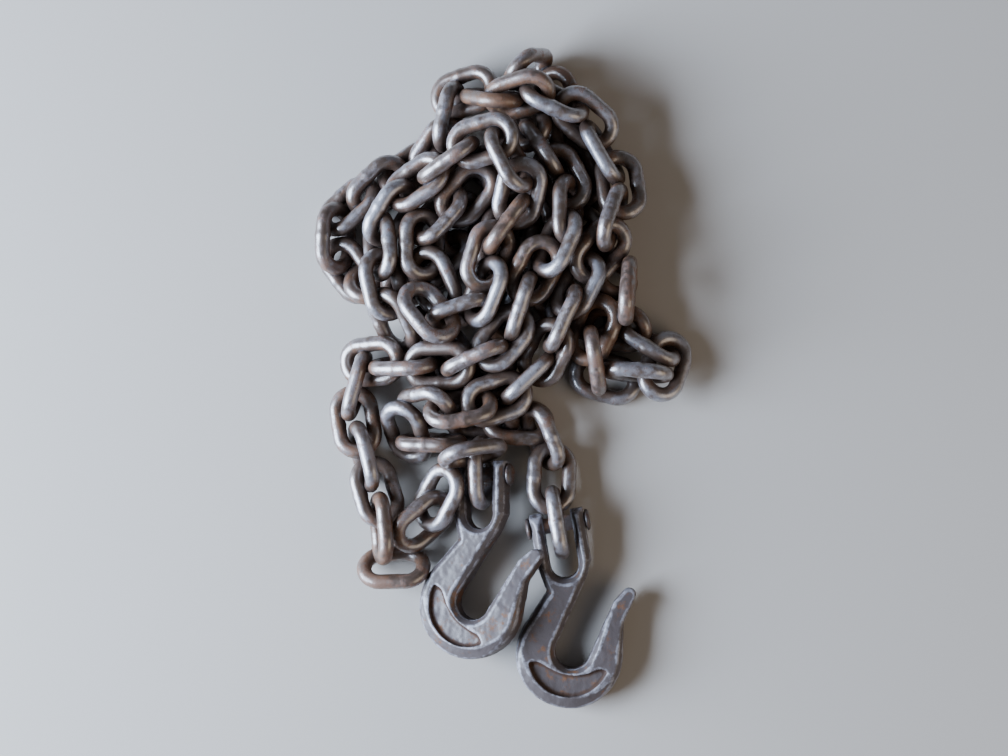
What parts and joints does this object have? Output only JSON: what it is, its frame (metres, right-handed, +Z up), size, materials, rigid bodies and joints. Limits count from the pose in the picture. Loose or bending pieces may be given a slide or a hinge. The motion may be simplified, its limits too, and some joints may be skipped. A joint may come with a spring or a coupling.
{
  "type": "heap of iron chain",
  "caption": "Rusty iron chain lying loosely folded in a low heap, with a clevis hook pinned to each end.",
  "frame": {"origin": "on the floor, under the middle of the heap's box", "axes": "+Z up, +Y away from the hooks along the heap's length, +X to the right as seen from the hooks"},
  "size_m": [0.2468, 0.4314, 0.0633],
  "materials": {
    "chain_iron": "rusty",
    "hook_iron": "worn, lightly rusted",
    "pin_iron": "rusty"
  },
  "bodies": {
    "root": {"chain_run_01": "chain_iron", "chain_run_02": "chain_iron", "chain_run_03": "chain_iron", "chain_run_04": "chain_iron", "chain_run_05": "chain_iron", "chain_run_06": "chain_iron", "chain_run_07": "chain_iron", "chain_run_08": "chain_iron", "chain_run_09": "chain_iron", "chain_run_10": "chain_iron", "chain_run_11": "chain_iron", "chain_run_12": "chain_iron", "chain_run_13": "chain_iron", "chain_run_14": "chain_iron", "chain_run_15": "chain_iron", "chain_run_16": "chain_iron", "chain_run_17": "chain_iron", "chain_run_18": "chain_iron", "chain_run_19": "chain_iron", "chain_run_20": "chain_iron", "chain_run_21": "chain_iron", "chain_run_22": "chain_iron", "chain_run_23": "chain_iron", "chain_run_24": "chain_iron", "chain_run_25": "chain_iron", "chain_run_26": "chain_iron", "hook_left": "hook_iron", "hook_right": "hook_iron", "clevis_pin_left": "pin_iron", "clevis_pin_right": "pin_iron"}
  },
  "joints": []
}
